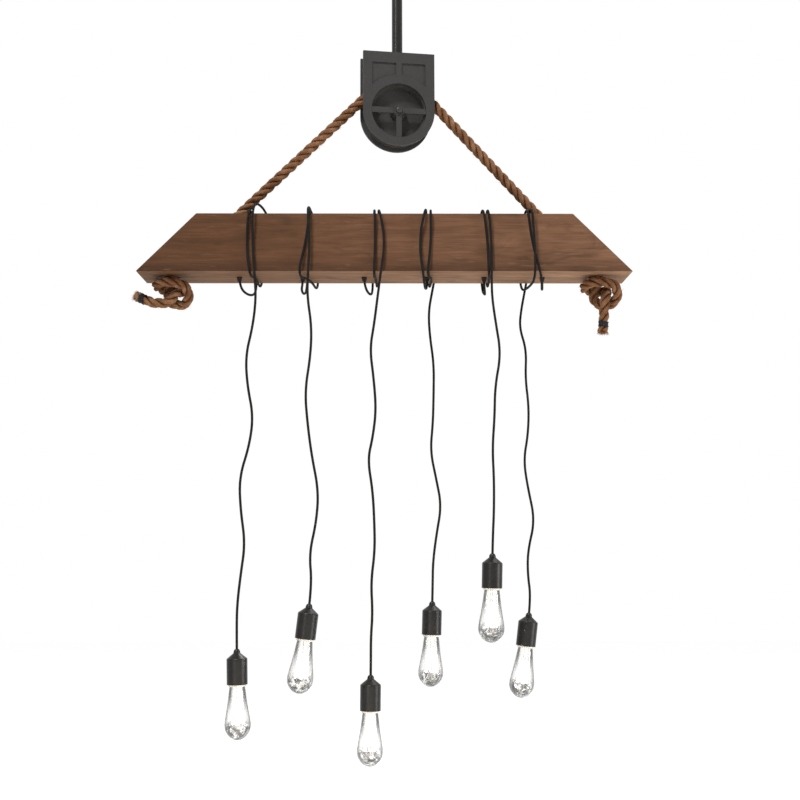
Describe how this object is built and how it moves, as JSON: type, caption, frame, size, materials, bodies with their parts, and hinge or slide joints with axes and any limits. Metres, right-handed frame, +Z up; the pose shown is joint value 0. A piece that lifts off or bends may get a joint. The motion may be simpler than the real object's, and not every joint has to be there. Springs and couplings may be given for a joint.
{
  "type": "wood beam pendant light",
  "caption": "Mitred timber beam slung on knotted rope from an iron pulley block, with bare-lamp pendants on fabric cords wound round it.",
  "frame": {"origin": "centre of the mounting bar's top face, on the ceiling", "axes": "+X along the beam to the right as seen from the front, +Y to the back, +Z up to the ceiling"},
  "size_m": [1.2302, 0.2256, 2.0815],
  "materials": {
    "ceiling_iron": "satin black powder coat",
    "zinc_steel": "zinc plated",
    "swivel_iron": "satin black",
    "swivel_seat": "plain nylon",
    "pipe_iron": "dark iron, dull",
    "block_iron": "blackened cast iron, dull and rough",
    "sheave_iron": "blackened cast iron with worn edges",
    "axle_steel": "blackened steel",
    "rope_fibre": "twisted natural fibre, matt and hairy",
    "rope_tape": "dark binding",
    "beam_wood": "oiled, open grain",
    "connector_plastic": "clear grey",
    "bushing_plastic": "black, satin",
    "cord_fabric": "braided black textile",
    "socket_shell": "black satin",
    "socket_core": "white glazed porcelain",
    "bulb_base": "plain screw cap",
    "bulb_glass": "clear with a warm tint"
  },
  "bodies": {
    "ceiling": {"crossbar": "zinc_steel", "canopy": "ceiling_iron", "canopy_nipple": "zinc_steel", "canopy_nuts": "zinc_steel", "swivel_cap": "swivel_iron", "swivel_cup": "swivel_iron"},
    "swivel_ring": {"swivel_ring": "swivel_seat"},
    "hanger": {"swivel_ball": "swivel_iron", "stem_cap": "swivel_iron", "stem": "pipe_iron", "front_cheek": "block_iron", "rear_cheek": "block_iron", "block_spacer": "block_iron", "axle": "axle_steel", "axle_nut": "axle_steel", "rope": "rope_fibre", "left_knot": "rope_fibre", "right_knot": "rope_fibre", "rope_end_bands": "rope_tape", "beam": "beam_wood", "channel_cover": "beam_wood", "splice_connectors": "connector_plastic", "cord_bushings": "bushing_plastic", "cord_winding_1": "cord_fabric", "cord_winding_2": "cord_fabric", "cord_winding_3": "cord_fabric", "cord_winding_4": "cord_fabric", "cord_winding_5": "cord_fabric", "cord_winding_6": "cord_fabric"},
    "sheave": {"sheave": "sheave_iron"},
    "pendant_1": {"cord_drop_1": "cord_fabric", "socket_shell_1": "socket_shell", "socket_core_1": "socket_core", "bulb_base_1": "bulb_base", "bulb_glass_1": "bulb_glass"},
    "pendant_2": {"cord_drop_2": "cord_fabric", "socket_shell_2": "socket_shell", "socket_core_2": "socket_core", "bulb_base_2": "bulb_base", "bulb_glass_2": "bulb_glass"},
    "pendant_3": {"cord_drop_3": "cord_fabric", "socket_shell_3": "socket_shell", "socket_core_3": "socket_core", "bulb_base_3": "bulb_base", "bulb_glass_3": "bulb_glass"},
    "pendant_4": {"cord_drop_4": "cord_fabric", "socket_shell_4": "socket_shell", "socket_core_4": "socket_core", "bulb_base_4": "bulb_base", "bulb_glass_4": "bulb_glass"},
    "pendant_5": {"cord_drop_5": "cord_fabric", "socket_shell_5": "socket_shell", "socket_core_5": "socket_core", "bulb_base_5": "bulb_base", "bulb_glass_5": "bulb_glass"},
    "pendant_6": {"cord_drop_6": "cord_fabric", "socket_shell_6": "socket_shell", "socket_core_6": "socket_core", "bulb_base_6": "bulb_base", "bulb_glass_6": "bulb_glass"}
  },
  "joints": [
    {"name": "swivel_turn", "type": "hinge", "parent": "ceiling", "child": "swivel_ring", "pos_m": [0, 0, -0.053], "axis": [0, 0, 1], "range_deg": [-170, 170]},
    {"name": "swivel_tilt", "type": "hinge", "parent": "swivel_ring", "child": "hanger", "pos_m": [0, 0, -0.053], "axis": [0, 1, 0], "range_deg": [-20, 20]},
    {"name": "sheave_spin", "type": "hinge", "parent": "hanger", "child": "sheave", "pos_m": [0, 0, -0.502], "axis": [-0.1461, 0.9893, 0], "continuous": true},
    {"name": "swing_1", "type": "hinge", "parent": "hanger", "child": "pendant_1", "pos_m": [-0.344, -0.08, -0.9325], "axis": [1, 0, 0], "range_deg": [-15, 15]},
    {"name": "swing_2", "type": "hinge", "parent": "hanger", "child": "pendant_2", "pos_m": [-0.216, -0.085, -0.9325], "axis": [1, 0, 0], "range_deg": [-15, 15]},
    {"name": "swing_3", "type": "hinge", "parent": "hanger", "child": "pendant_3", "pos_m": [-0.042, -0.08, -0.9325], "axis": [1, 0, 0], "range_deg": [-15, 15]},
    {"name": "swing_4", "type": "hinge", "parent": "hanger", "child": "pendant_4", "pos_m": [0.09, 0.08, -0.9325], "axis": [1, 0, 0], "range_deg": [-15, 15]},
    {"name": "swing_5", "type": "hinge", "parent": "hanger", "child": "pendant_5", "pos_m": [0.226, -0.08, -0.9325], "axis": [1, 0, 0], "range_deg": [-15, 15]},
    {"name": "swing_6", "type": "hinge", "parent": "hanger", "child": "pendant_6", "pos_m": [0.325, 0.08, -0.9325], "axis": [1, 0, 0], "range_deg": [-15, 15]}
  ]
}
